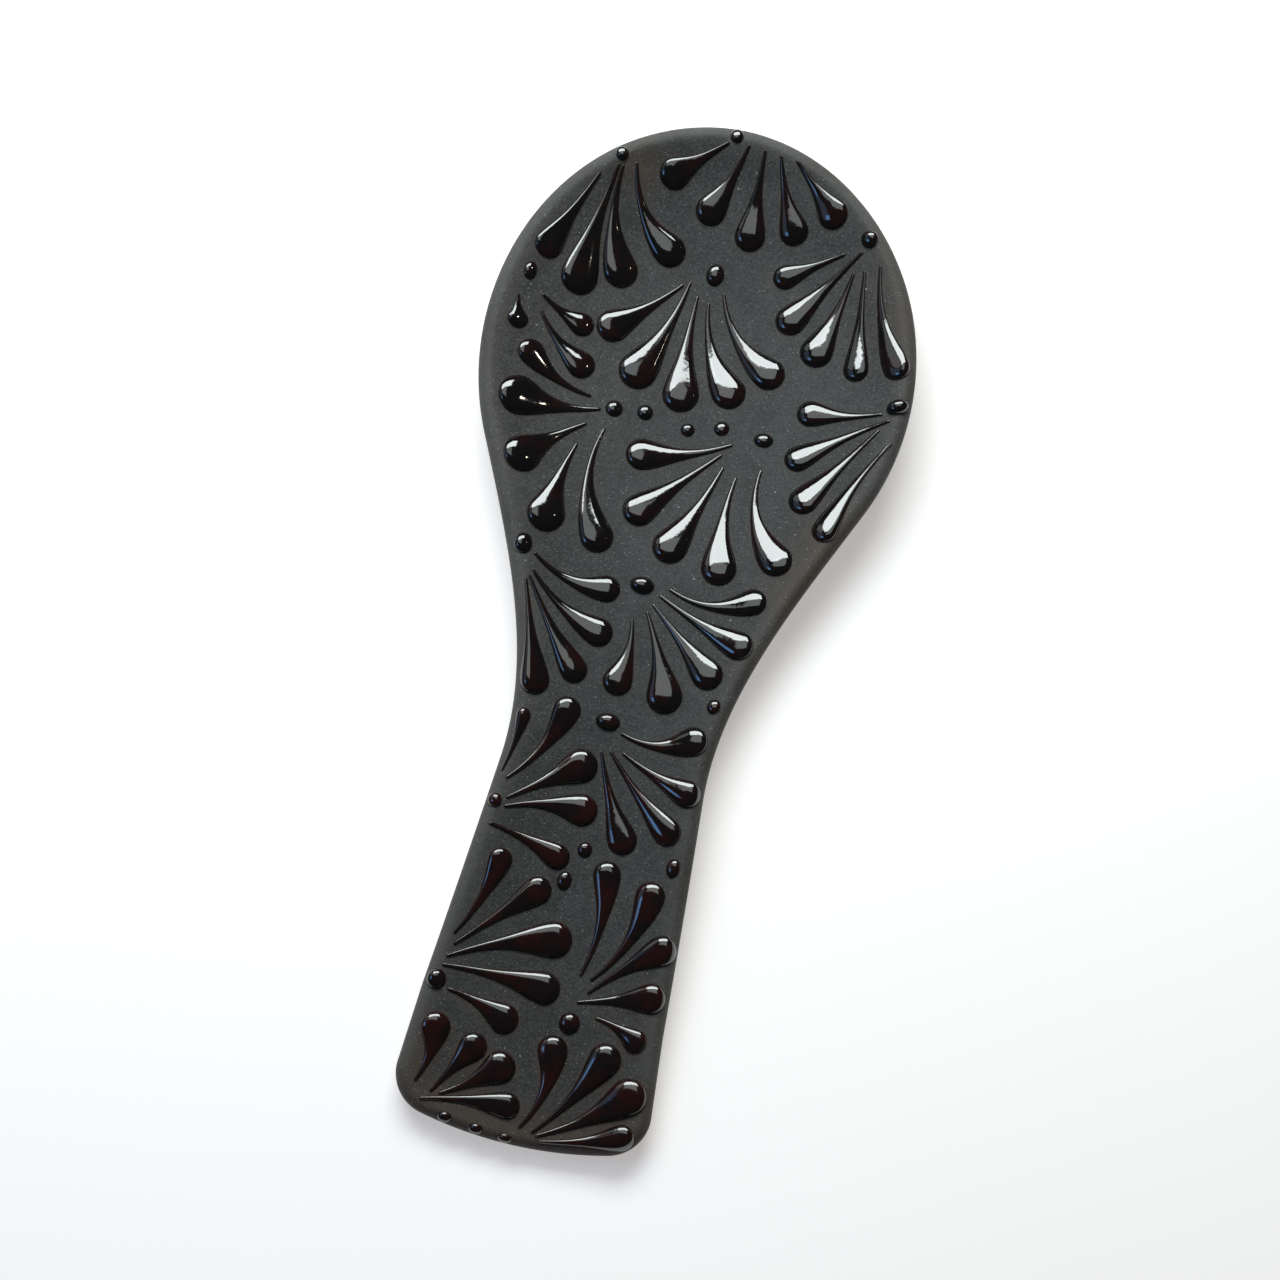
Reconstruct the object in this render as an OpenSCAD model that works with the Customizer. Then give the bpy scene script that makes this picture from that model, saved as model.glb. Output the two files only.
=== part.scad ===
// Spoon rest in matt black earthenware, slip-trailed with raised gloss drops.
// It lies on its underside: +Z is up, the bowl points along +Y and the handle along -Y.
// The origin is under the middle of the whole piece, on the surface that it stands on.

/* [Outline] */
// Length over all, from the bowl's far lip to the end of the handle
total_l = 250; // [235:1:265]
// Width of the bowl over its lips
bowl_w = 105; // [100:1:112]
// Distance from the bowl's widest line to its far lip
bowl_reach = 60.5; // [57:0.5:64]
// Width of the neck where it is narrowest
neck_w = 48.5; // [44:0.5:54]
// Width of the handle just above its end corners
end_w = 60; // [56:0.5:64]
// Radius of the two end corners
corner_r = 10; // [7:0.5:12]
// Radius of the slightly rounded end edge
end_r = 100; // [90:5:200]
// Sideways bow of the centre line, because the slab was cut by hand
bow = 1; // [0:0.1:1.5]

/* [Dish] */
// Height of the top surface at the bowl's lowest point
floor_z = 6; // [6:0.1:7]
// Height of the bowl's rim
rim_z = 18; // [15:0.5:20]
// Height of the top surface in the middle of the neck
neck_z = 10; // [9:0.1:12]
// Height of the top surface in the middle of the handle's end
end_z = 5.6; // [5.4:0.1:6.2]
// How far the neck's edges stand above its middle
neck_rise = 2.6; // [1:0.1:4]
// How far the edges at the handle's end stand above its middle
end_rise = 2; // [0.5:0.1:3]
// Radius of the full round lip
lip_r = 2.6; // [2:0.1:3]
// Thickness of the clay along the middle
floor_t = 7; // [6.5:0.1:7.5]

/* [Drops] */
// Width of a drop's thin tail
tail_w = 0.7; // [0.5:0.1:1]
// Height of a drop's tail above the clay
tail_h = 0.35; // [0.2:0.05:0.6]
// Height that a drop gains for each millimetre of half width
swell = 0.33; // [0.2:0.01:0.45]
// Depth that a drop is keyed into the clay
bed = 0.15; // [0.1:0.05:0.3]

/* [Hidden] */
// The sizes at which the drops were laid out, so that they follow the outline
LAYOUT_L = 250;
LAYOUT_W = 105;

// Share of the bowl's reach at which its ellipse ends, and shares of the length along the handle
ELLIPSE_SHARE = 0.47;
NECK_SHARE = 0.156;
SHOULDER_SHARE = 0.04;
CREST_SHARE = 0.1;
FLOOR_SHIFT = 3;

half_l = total_l / 2;
bowl_y = half_l - bowl_reach;                      // the bowl's widest line
neck_top_y = bowl_y - ELLIPSE_SHARE * bowl_reach;  // where the neck curve starts
neck_y = -NECK_SHARE * total_l;                    // where the neck is narrowest
floor_y = bowl_y + FLOOR_SHIFT;                    // the bowl's lowest point
shoulder_y = -SHOULDER_SHARE * total_l;            // where the neck's middle is highest
crest_y = -CREST_SHARE * total_l;                  // where the rim has come down to the neck
bow_y = 10;                                        // where the centre line bows furthest
bow_l = 80;                                        // half length over which it bows by its full amount
bow_end = 104;                                     // distance past which it runs straight on
DISH_POWER = 2.4;                                  // above 2, so the floor is flat and the wall curls up

// Right half of the outline: stretches of points along each part of it
BOWL_STEPS = 19;
NECK_STEPS = 12;
SIDE_STEPS = 6;
CORNER_STEPS = 5;
END_STEPS = 4;
// Rings of points between the lip and the middle line, and round the lip
TOP_RINGS = 8;
LIP_STEPS = 6;
BOTTOM_RINGS = 7;
SPINE_SHRINK = 0.72;
SPINE_SHIFT = 4;
LAST_RING = 0.95;

CLAY = "#3d3d3b";
GLAZE = "#160e0e";

// ---- the outline, about a straight centre line ----

flare = (end_w - neck_w) / 2 / (half_l + neck_y - corner_r);
neck_slope = bowl_w / 2 / bowl_reach * ELLIPSE_SHARE / sqrt(1 - pow(ELLIPSE_SHARE, 2));

function smooth(t) = let (u = min(1, max(0, t))) u * u * (3 - 2 * u);

function bowl_half(y) = bowl_w / 2 * sqrt(max(0.000001, 1 - pow((y - bowl_y) / bowl_reach, 2)));

// A cubic that leaves the bowl and joins the handle without a break in direction
function neck_half(y) =
    let (span = neck_top_y - neck_y, u = (neck_top_y - y) / span, v = 1 - u)
    (1 + 2 * u) * v * v * bowl_half(neck_top_y) - u * v * v * neck_slope * span
        + u * u * (3 - 2 * u) * neck_w / 2 - u * u * v * flare * span;

function handle_half(y) = neck_w / 2 + flare * (neck_y - y);

function half_width(y) = y > neck_top_y ? bowl_half(y) : y > neck_y ? neck_half(y) : handle_half(y);

end_mid_y = -half_l + end_r;                       // centre of the end edge's arc
corner_x = handle_half(-half_l + corner_r + 2) - corner_r;
corner_y = end_mid_y - sqrt(pow(end_r - corner_r, 2) - corner_x * corner_x);
end_angle = asin(corner_x / (end_r - corner_r));

neck_angle = -asin(ELLIPSE_SHARE);
right_side = concat(
    [for (i = [0 : BOWL_STEPS]) let (a = 90 + (neck_angle - 90) * i / BOWL_STEPS)
        [bowl_w / 2 * cos(a), bowl_y + bowl_reach * sin(a)]],
    [for (i = [1 : NECK_STEPS]) let (y = neck_top_y + (neck_y - neck_top_y) * i / NECK_STEPS)
        [neck_half(y), y]],
    [for (i = [1 : SIDE_STEPS]) let (y = neck_y + (corner_y - neck_y) * i / SIDE_STEPS)
        [handle_half(y), y]],
    [for (i = [1 : CORNER_STEPS]) let (a = -(90 - end_angle) * i / CORNER_STEPS)
        [corner_x + corner_r * cos(a), corner_y + corner_r * sin(a)]],
    [for (i = [1 : END_STEPS]) let (a = end_angle * (1 - i / END_STEPS))
        [end_r * sin(a), end_mid_y - end_r * cos(a)]]);
last = len(right_side) - 1;
outline = concat(right_side, [for (i = [last - 1 : -1 : 1]) [-right_side[i].x, right_side[i].y]]);
count = len(outline);

// Outward direction of the outline at point i, from the points on either side
function outward(i) =
    let (d = outline[(i + 1) % count] - outline[(i + count - 1) % count])
    [-d.y, d.x] / norm(d);

// ---- heights of the top surface ----

function middle_z(y) =
    y > floor_y ? floor_z + (rim_z - floor_z) * pow(min(1, (y - floor_y) / (half_l - floor_y)), DISH_POWER)
    : y > shoulder_y ? floor_z + (neck_z - floor_z) * smooth((floor_y - y) / (floor_y - shoulder_y))
    : neck_z + (end_z - neck_z) * smooth((shoulder_y - y) / (shoulder_y + half_l));

function edge_z(y) =
    let (neck_edge = neck_z + neck_rise, end_edge = end_z + end_rise)
    y > crest_y ? rim_z + (neck_edge - rim_z) * smooth((bowl_y - y) / (bowl_y - crest_y))
    : neck_edge + (end_edge - neck_edge) * smooth((crest_y - y) / (crest_y + half_l));

// The dish: its middle line plus a rise that grows with the power of the distance from it
function top_z(p) =
    let (q = min(1, abs(p.x) / half_width(p.y)))
    middle_z(p.y) + (edge_z(p.y) - middle_z(p.y)) * pow(q, DISH_POWER);

// Angle at which the dish climbs towards the lip, along direction n
function climb(p, n) = atan2(top_z(p) - top_z(p - n), 1);

function bowed(y) = bow * (pow((bowl_y - bow_y) / bow_l, 2) - pow(min(bow_end, abs(y - bow_y)) / bow_l, 2));

// ---- the clay: rings of points over the top, round the lip and under the body ----

// Lip at outline point i: [centre, outward direction, climb, height of the centre]
lips = [for (i = [0 : count - 1])
    let (n = outward(i), c = outline[i] - lip_r * n, a = climb(c, n), s = c - lip_r * sin(a) * n)
    [c, n, a, top_z(s) - lip_r * cos(a)]];

function toward_spine(p, s) = [p.x * (1 - s), p.y * (1 - s) + (SPINE_SHRINK * p.y + SPINE_SHIFT) * s];

function place(p, z) = [p.x + bowed(p.y), p.y, z];

function top_ring(s) = [for (l = lips)
    let (p = toward_spine(l[0] - lip_r * sin(l[2]) * l[1], s)) place(p, top_z(p))];

function lip_ring(t) = [for (l = lips)
    let (a = 90 + l[2] - 180 * t) place(l[0] + lip_r * cos(a) * l[1], l[3] + lip_r * sin(a))];

// Clay thickness grows from the lip to the middle, and where it reaches the ground it is a foot
function bottom_ring(s) = [for (l = lips)
    let (p = toward_spine(l[0] + lip_r * sin(l[2]) * l[1], s), k = 1 - pow(1 - s, 2),
         t = 2 * lip_r / cos(l[2]) * (1 - k) + floor_t * k)
    place(p, max(0, top_z(p) - t))];

module clay_body() {
    rings = concat(
        [for (k = [TOP_RINGS : -1 : 1]) top_ring(LAST_RING * k / TOP_RINGS)],
        [for (k = [0 : LIP_STEPS]) lip_ring(k / LIP_STEPS)],
        [for (k = [1 : BOTTOM_RINGS]) bottom_ring(LAST_RING * k / BOTTOM_RINGS)]);
    under = (len(rings) - 1) * count;
    walls = [for (k = [0 : len(rings) - 2], i = [0 : count - 1])
        let (j = (i + 1) % count, a = k * count + i, b = k * count + j)
        each [[a, b, b + count], [a, b + count, a + count]]];
    // The innermost rings are closed across the middle line by pairs of facing points
    strips = [for (i = [1 : last - 2])
        let (m = count - i)
        each [[i, m, m - 1], [i, m - 1, i + 1]]];
    tips = [[0, count - 1, 1], [last - 1, last + 1, last]];
    lids = concat(strips, tips);
    color(CLAY) polyhedron(
        points = [for (r = rings) each r],
        faces = concat([for (f = walls) [f[2], f[1], f[0]]],
                       [for (f = lids) [f[2], f[1], f[0]]],
                       [for (f = lids) [for (v = f) under + v]]));
}

// ---- the surface that the drops lie on, with the lip rolled over ----

function edge_gap(p) =
    let (x = abs(p.x), e = norm([x / (bowl_w / 2), (p.y - bowl_y) / bowl_reach]),
         lean = (half_width(p.y + 1) - half_width(p.y - 1)) / 2)
    p.y > neck_top_y
        ? (1 - e) * e / norm([x / pow(bowl_w / 2, 2), (p.y - bowl_y) / pow(bowl_reach, 2)])
    : x > corner_x && p.y < corner_y ? corner_r - norm([x - corner_x, p.y - corner_y])
    : min((half_width(p.y) - x) / norm([1, lean]), end_r - norm([x, p.y - end_mid_y]));

// Half steps over which slopes are measured, so that a difference is a rise for each millimetre
DX = [0.5, 0];
DY = [0, 0.5];

function slope(p) = norm([top_z(p + DX) - top_z(p - DX), top_z(p + DY) - top_z(p - DY)]);

function skin_z(q) =
    let (p = [q.x - bowed(q.y), q.y], d = max(0, edge_gap(p)),
         a = atan(slope(p)), start = lip_r * (1 + sin(a)))
    d > start ? top_z(p)
    : top_z(p) - tan(a) * (start - d) - lip_r * cos(a) + sqrt(max(0, pow(lip_r, 2) - pow(d - lip_r, 2)));

// ---- one drop: a tail that swells into a round head ----

// Places along a drop: share of its length, then angles round the head
TAIL_PLACES = [0, 0.25, 0.5, 0.7, 0.86, 1];
HEAD_ANGLES = [32, 60, 82];
// Places across a drop, as shares of its half width
ACROSS = [-1, -0.8, -0.32, 0.32, 0.8, 1];
SECTION = len(ACROSS) + 1;
EVEN_SHARE = 0.35;
SWELL_POWER = 2.2;
// The dome's section: a power above 2 makes its crown flat and its flanks steep
CROWN_POWER = 2.6;
FLANK_POWER = 0.5;

// Share of the head's width at place t: an even widening, and a late swell into the head
function widening(t) = EVEN_SHARE * t + (1 - EVEN_SHARE) * smooth(pow(t, SWELL_POWER));

// Share of the full height at a distance from the middle line or head centre, as a share of half width
function dome(share) = pow(max(0, 1 - pow(share, CROWN_POWER)), FLANK_POWER);

// A stroke is [tip x, tip y, direction, length to the head's centre, head width, bend],
// with the bend as the sideways offset of its middle, to the left of its direction
module drop(stroke) {
    tip = [stroke[0] * bowl_w / LAYOUT_W, stroke[1] * total_l / LAYOUT_L];
    ahead = [cos(stroke[2]), sin(stroke[2])];
    side = [-ahead.y, ahead.x];
    long = stroke[3];
    head = stroke[4] / 2;
    bend = stroke[5];
    tail = tail_w / 2;
    // Each place: [share of the length, half width where g is 0, angle g round the head]
    places = concat(
        [for (t = TAIL_PLACES) [t, tail + (head - tail) * widening(t), 0]],
        [for (g = HEAD_ANGLES) [1, head, g]]);
    ring_points = [for (c = places)
        let (t = c[0], half = c[1], g = c[2],
             turn = 4 * bend * (1 - 2 * t) / long,
             on = (ahead + turn * side) / norm([1, turn]),
             over = [-on.y, on.x],
             mid = tip + long * t * ahead + 4 * bend * t * (1 - t) * side + half * sin(g) * on)
        each concat(
            [for (v = ACROSS)
                let (p = mid + v * cos(g) * half * over,
                     h = (tail_h + swell * half) * dome(norm([sin(g), v * cos(g)])))
                [p.x, p.y, skin_z(p) + (abs(v) == 1 ? -bed : h)]],
            [[mid.x, mid.y, skin_z(mid) - bed]])];
    solid(ring_points, len(places), SECTION);
}

// A closed skin over a row of rings with the same number of points in each
module solid(ring_points, rings, size) {
    walls = [for (k = [0 : rings - 2], i = [0 : size - 1])
        let (j = (i + 1) % size, a = k * size + i, b = k * size + j)
        each [[a, b, b + size], [a, b + size, a + size]]];
    first_cap = [for (i = [1 : size - 2]) [0, i + 1, i]];
    last_cap = [for (i = [1 : size - 2]) [0, i, i + 1] + (rings - 1) * size * [1, 1, 1]];
    polyhedron(points = ring_points, faces = concat(walls, first_cap, last_cap));
}

// ---- one dot: a round or oval dome that stands square to the clay ----

DOT_RINGS = [[1, 0], [0.93, 0.5], [0.65, 0.86], [0.25, 0.99]];
DOT_POINTS = 10;
DOT_RATIO = 0.34;
DOT_KEY = 0.3;

// A dot is [x, y, width, length, turn, lean], where lean tips it outwards over the end edge
module dot(spot) {
    at = [spot[0] * bowl_w / LAYOUT_W, spot[1] * total_l / LAYOUT_L];
    height = DOT_RATIO * spot[2];
    ring_points = [for (r = DOT_RINGS, i = [0 : DOT_POINTS - 1])
        let (a = -360 * i / DOT_POINTS)
        [r[0] * spot[2] / 2 * cos(a), r[0] * spot[3] / 2 * sin(a), height * r[1]]];
    lean = spot[5] == 0
        ? [atan(skin_z(at + DY) - skin_z(at - DY)), -atan(skin_z(at + DX) - skin_z(at - DX))]
        : [spot[5], 0];
    translate([at.x, at.y, skin_z(at)])
        rotate([lean.x, lean.y, spot[4]])
            translate([0, 0, -DOT_KEY])
                solid(ring_points, len(DOT_RINGS), DOT_POINTS);
}

module fan(strokes, dots) {
    color(GLAZE) {
        for (s = strokes) drop(s);
        for (d = dots) dot(d);
    }
}

// ---- the fans, from the bowl's far lip down to the end of the handle ----

module far_left_fan() {
    fan([[-33.5, 106, 248, 22, 6.5, 0],
         [-29.5, 109.5, 263, 29, 9, -0.5],
         [-28.5, 109.5, 281, 25, 8.5, -2],
         [-25.5, 111, 304, 22, 8, -2.5]],
        [[-29.5, 112, 3.5, 3.5, 0, 0]]);
}

module far_fan() {
    fan([[-4.5, 120.5, 220, 15, 7.5, 0],
         [0.5, 121, 250, 17.5, 7.5, 0.5],
         [4.5, 120.5, 272, 20, 7.5, 0],
         [8.5, 120, 293, 18, 7, -0.5],
         [12.5, 119.5, 316, 16, 7, 0]],
        [[-3, 122.5, 3.5, 3.5, 0, 0]]);
}

module far_right_fan() {
    fan([[29, 99.5, 209, 15, 6, 0],
         [33, 100.5, 234, 23, 7.5, 0],
         [32, 95.5, 257, 21, 8, 0.5],
         [34.5, 96, 277, 24.5, 6, 0],
         [38, 97.5, 290, 26, 6.5, -1.5]],
        [[34, 103.5, 4.5, 4.5, 0, 0]]);
}

module right_rim_fan() {
    fan([[46, 61, 186, 17, 6.5, 0.5],
         [48, 59.5, 212, 23, 6.5, -0.5],
         [46, 57, 235, 24.5, 7, 0],
         [49.5, 54, 245, 26.5, 6, -1]],
        [[49, 63, 5.5, 4, 25, 0]]);
}

module bowl_upper_fan() {
    fan([[-8, 85.5, 225, 20.5, 8, 0.5],
         [-6.5, 86.5, 253, 26, 9.5, 1],
         [-4, 83.5, 273, 25.5, 9, -0.5],
         [-1, 82.5, 294, 23.5, 8.5, -2],
         [2, 85.5, 310, 23.5, 8, -2.5]],
        [[-1, 89.5, 4.5, 6, 0, 0]]);
}

module left_rim_sprig() {
    fan([[-46, 71.5, 283, 6, 5, 0],
         [-40.5, 73.5, 338, 11.5, 6, -0.5],
         [-40, 69.5, 320, 16, 7, -1]],
        [[-44.5, 78, 3.5, 5, 0, 0]]);
}

module bowl_left_fan() {
    fan([[-23.5, 52, 158, 17.5, 6.5, 1.5],
         [-20.5, 49.5, 187, 19.5, 10, 1],
         [-23, 45, 223, 17.5, 9, -0.5],
         [-24, 39.5, 261, 19.5, 9, -0.5],
         [-18.5, 45, 279, 27.5, 8, -3]],
        [[-17.5, 50.5, 4.5, 4.5, 0, 0]]);
}

module bowl_lower_fan() {
    fan([[12.5, 48, 199, 22, 8, 1],
         [10.5, 45, 228, 24.5, 8, 0],
         [11.5, 42, 250, 24, 8.5, 0.5],
         [15, 40, 272, 23.5, 8.5, -1],
         [20.5, 43, 290, 23.5, 8, -3]],
        [[19.5, 50.5, 5, 4, 0, 0]]);
}

module neck_fan() {
    fan([[5.5, 9, 2, 20, 6.5, -2.5],
         [3.5, 7, 338, 22.5, 7, -0.5],
         [2.5, 4.5, 319, 21.5, 7.5, 0],
         [1.5, 2.5, 294, 21, 8.5, 0.5],
         [-1.5, 0, 270, 15.5, 7, 1]],
        [[-1, 8.5, 6, 4.5, 0, 0]]);
}

module neck_left_fan() {
    fan([[-27.5, 10, 347, 19, 6.5, -2],
         [-27, 6, 329, 21.5, 7, -1.5],
         [-27.5, 4.5, 308, 25, 6.5, -0.5],
         [-28, 3.5, 288, 24.5, 7, 0]],
        [[-30.5, 11.5, 4.5, 5.5, 0, 0]]);
}

module handle_upper_left_fan() {
    fan([[-23, -42.5, 82, 14, 3.5, -0.5],
         [-21.5, -44, 62, 21.5, 6.5, -1.5],
         [-20.5, -48.5, 37, 19, 8, 0],
         [-20.5, -50.5, 11, 18, 7.5, 1],
         [-23, -55, 347, 17.5, 6, 0.5]],
        [[-23, -49.5, 3.5, 3.5, 0, 0]]);
}

module handle_upper_right_fan() {
    fan([[2, -27.5, 5, 17, 7, -2],
         [3.5, -32, 339, 18, 6.5, -0.5],
         [0.5, -32, 317, 23.5, 6.5, -0.5],
         [-1.5, -32.5, 296, 21.5, 7, -0.5]],
        [[-1.5, -25.5, 6, 4.5, 0, 0]]);
}

module handle_lower_left_fan() {
    fan([[-25, -81.5, 71, 20, 5.5, -1],
         [-24.5, -84, 46, 23, 6.5, 0],
         [-25.5, -87, 22, 25, 8.5, 1],
         [-26, -89, 0, 24, 7.5, 0.5],
         [-23.5, -94, 345, 14.5, 7, 0.5]],
        [[-26.5, -92.5, 4.5, 5, 0, 0]]);
}

module handle_lower_right_fan() {
    fan([[5.5, -84.5, 88, 24, 6.5, -1.5],
         [8, -85, 67, 23.5, 7, -2],
         [8, -88, 42, 19.5, 7, 0.5],
         [6, -90.5, 15, 17, 7, 0],
         [11, -93, 342, 10.5, 5.5, 0.5]],
        [[5.5, -95.5, 5, 5.5, 0, 0]]);
}

module end_left_fan() {
    fan([[-26, -116, 82, 13, 7, -1],
         [-22, -117.5, 59, 14, 6.5, 0],
         [-20, -117.5, 36, 15, 7.5, -0.5],
         [-24, -119.5, 8, 20, 6, 0.5]],
        []);
}

module end_right_fan() {
    fan([[-0.5, -121, 79, 19, 7, -2],
         [2.5, -121.5, 57, 23.5, 7.5, -1],
         [3.5, -122, 35, 23, 8.5, -1],
         [4.5, -123, 15, 19, 6, -0.5]],
        []);
}

// ---- dots that belong to no fan ----

module bowl_dots() {
    fan([], [[-10, 51.5, 4, 4, 0, 0], [1, 49.5, 3.5, 3.5, 0, 0], [9, 51.5, 4, 4, 0, 0]]);
}

module handle_dots() {
    fan([], [[22, -17, 3.5, 4, 0, 0], [0, -56, 3.5, 4, 0, 0],
             [-3, -64, 3.5, 5, 0, 0], [21, -56, 3.5, 5, 0, 0]]);
}

module end_edge_dots() {
    fan([], [[-17.5, -122.4, 3.5, 3, 0, 45], [-10, -123.4, 3.5, 3, 0, 45], [-3, -124, 3.5, 3, 0, 60]]);
}

clay_body();
far_left_fan();
far_fan();
far_right_fan();
right_rim_fan();
bowl_upper_fan();
left_rim_sprig();
bowl_left_fan();
bowl_lower_fan();
neck_fan();
neck_left_fan();
handle_upper_left_fan();
handle_upper_right_fan();
handle_lower_left_fan();
handle_lower_right_fan();
end_left_fan();
end_right_fan();
bowl_dots();
handle_dots();
end_edge_dots();
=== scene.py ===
"""Spoon rest in matt black earthenware, slip-trailed with raised gloss drops.

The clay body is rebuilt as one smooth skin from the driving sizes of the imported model, and each drop
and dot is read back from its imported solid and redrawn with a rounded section. Shapes are worked out in
millimetres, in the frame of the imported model, and become metres when they are put into a mesh.
"""

import logging
import math
from dataclasses import dataclass, field
from enum import Enum
from typing import Any, Union

import bpy
import numpy as np
from mathutils import Euler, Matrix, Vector


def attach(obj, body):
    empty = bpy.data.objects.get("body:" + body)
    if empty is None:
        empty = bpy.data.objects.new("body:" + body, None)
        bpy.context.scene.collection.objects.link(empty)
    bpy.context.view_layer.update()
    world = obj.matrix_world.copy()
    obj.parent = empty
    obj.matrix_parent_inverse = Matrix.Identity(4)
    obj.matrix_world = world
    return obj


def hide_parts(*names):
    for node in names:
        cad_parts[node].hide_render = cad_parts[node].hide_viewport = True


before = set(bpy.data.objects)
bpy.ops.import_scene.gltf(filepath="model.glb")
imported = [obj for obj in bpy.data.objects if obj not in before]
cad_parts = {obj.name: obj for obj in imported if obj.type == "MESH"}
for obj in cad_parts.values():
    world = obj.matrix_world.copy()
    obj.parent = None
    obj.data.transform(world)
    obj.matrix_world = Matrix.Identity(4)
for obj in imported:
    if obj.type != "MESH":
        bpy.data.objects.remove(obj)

Array = np.ndarray
MM = 0.001
BODY = "root"
CLAY_NODE = "clay_body"
# Spread of an area light that shines evenly over the half space before it, in degrees
FULL_SPREAD = 180.0
log = logging.getLogger("spoon_rest")


class Slot(Enum):
    """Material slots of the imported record."""

    CLAY = "clay"
    GLAZE = "glaze"


# ---------------------------------------------------------------- shader expressions


class Signal:
    """One output of a node, with the arithmetic that adds Math nodes to its graph."""

    def __init__(self, graph: "Graph", socket: bpy.types.NodeSocket) -> None:
        """Keeps the socket and the graph it belongs to."""
        self.graph = graph
        self.socket = socket

    def math(self, operation: str, *operands: "Operand") -> "Signal":
        """Adds a Math node.

        Args:
            operation: Blender's name for the operation.
            operands: values or signals, in the node's order.

        Returns:
            The node's value.
        """
        made = self.graph.node("ShaderNodeMath", {"operation": operation}, dict(enumerate(operands)))
        return Signal(self.graph, made.outputs[0])

    def __add__(self, other: "Operand") -> "Signal":
        """Self plus other."""
        return self.math("ADD", self, other)

    def __radd__(self, other: "Operand") -> "Signal":
        """Other plus self."""
        return self.math("ADD", other, self)

    def __sub__(self, other: "Operand") -> "Signal":
        """Self minus other."""
        return self.math("SUBTRACT", self, other)

    def __rsub__(self, other: "Operand") -> "Signal":
        """Other minus self."""
        return self.math("SUBTRACT", other, self)

    def __mul__(self, other: "Operand") -> "Signal":
        """Self times other."""
        return self.math("MULTIPLY", self, other)

    def __rmul__(self, other: "Operand") -> "Signal":
        """Other times self."""
        return self.math("MULTIPLY", other, self)

    def __pow__(self, other: "Operand") -> "Signal":
        """Self to the power of other."""
        return self.math("POWER", self, other)

    def held(self) -> "Signal":
        """Self held between 0 and 1."""
        return self.math("MINIMUM", self.math("MAXIMUM", self, 0.0), 1.0)

    def rising(self, low: float, high: float) -> "Signal":
        """0 below low, 1 above high, and a smooth step between. With low above high it falls."""
        made = self.graph.node(
            "ShaderNodeMapRange",
            {"interpolation_type": "SMOOTHSTEP"},
            {"Value": self, "From Min": low, "From Max": high, "To Min": 0.0, "To Max": 1.0},
        )
        return Signal(self.graph, made.outputs["Result"])


Operand = Union[Signal, float]
Colour = tuple[float, float, float]
Tone = Union[Signal, Colour]


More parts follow.
